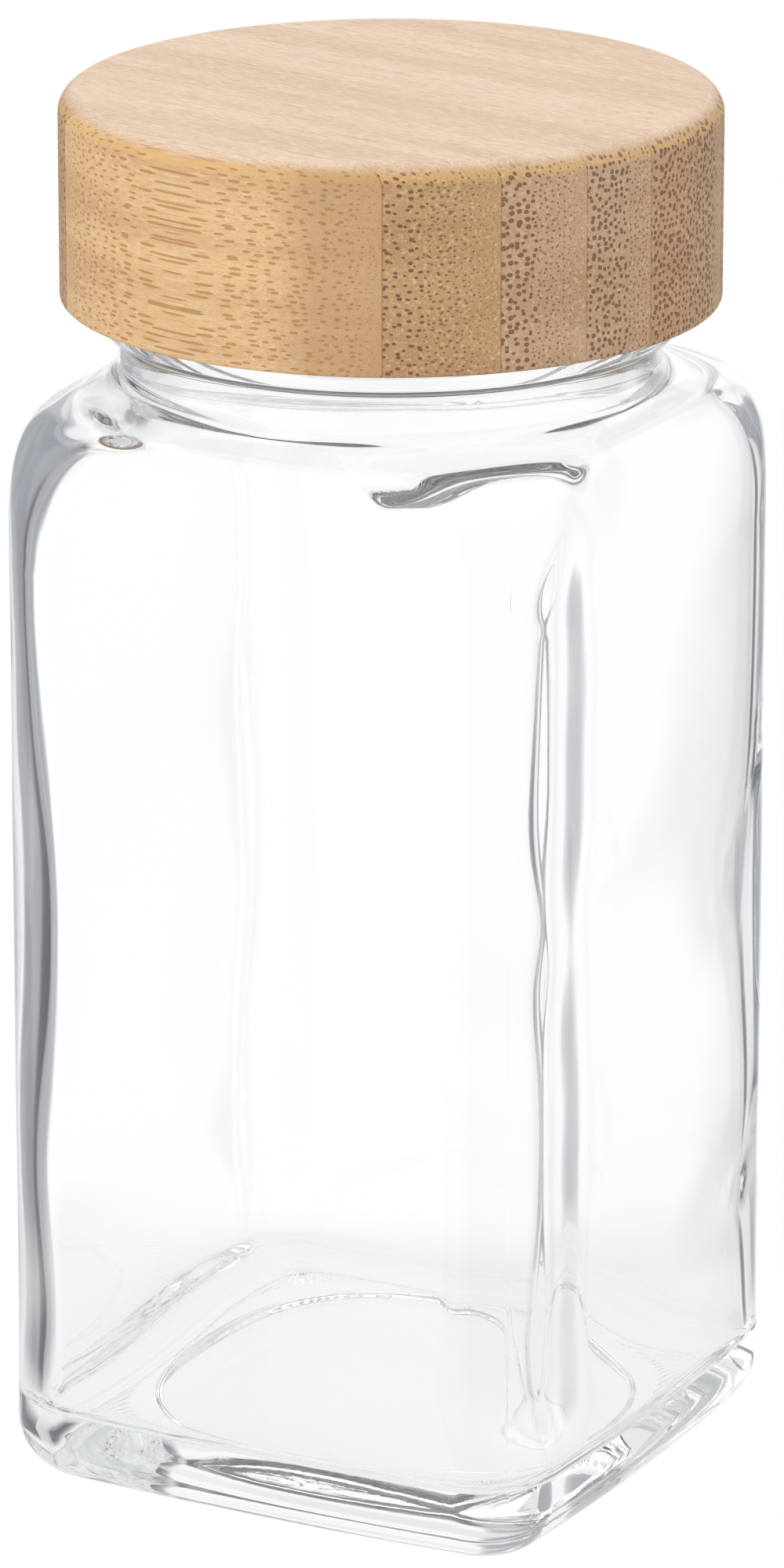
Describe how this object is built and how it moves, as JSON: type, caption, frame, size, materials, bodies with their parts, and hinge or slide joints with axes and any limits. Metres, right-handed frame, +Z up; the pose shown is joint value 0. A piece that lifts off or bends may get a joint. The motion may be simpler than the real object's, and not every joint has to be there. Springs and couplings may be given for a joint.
{
  "type": "spice jar",
  "caption": "Square clear glass spice jar with a round screw neck and a bamboo screw lid that seals on a disc.",
  "frame": {"origin": "centre of the square base, on the plane the jar stands on", "axes": "+Z up along the neck and lid axis, +X and +Y square to the flat sides of the jar"},
  "size_m": [0.058, 0.058, 0.1256],
  "materials": {
    "clear_glass": "clear, polished",
    "white_plastic": "satin moulded",
    "seal_foam": "soft, matte",
    "bamboo": "oiled, fine sanded"
  },
  "bodies": {
    "jar": {"glass_jar": "clear_glass"},
    "seal": {"seal_disc": "seal_foam"},
    "lid": {"cap_insert": "white_plastic", "bamboo_strip_1": "bamboo", "bamboo_strip_2": "bamboo", "bamboo_strip_3": "bamboo", "bamboo_strip_4": "bamboo", "bamboo_strip_5": "bamboo", "bamboo_strip_6": "bamboo", "bamboo_strip_7": "bamboo", "bamboo_strip_8": "bamboo"}
  },
  "joints": [
    {"name": "lid_lift", "type": "slide", "parent": "jar", "child": "seal", "axis": [0, 0, 1], "range_m": [0, 0.01694]},
    {"name": "lid_turn", "type": "hinge", "parent": "seal", "child": "lid", "pos_m": [0, 0, 0.1172], "axis": [0, 0, 1], "range_deg": [0, 1440]}
  ],
  "couplings": [
    {"joint": "lid_lift", "follows": "lid_turn", "m_per_rad": 0.00067376}
  ]
}
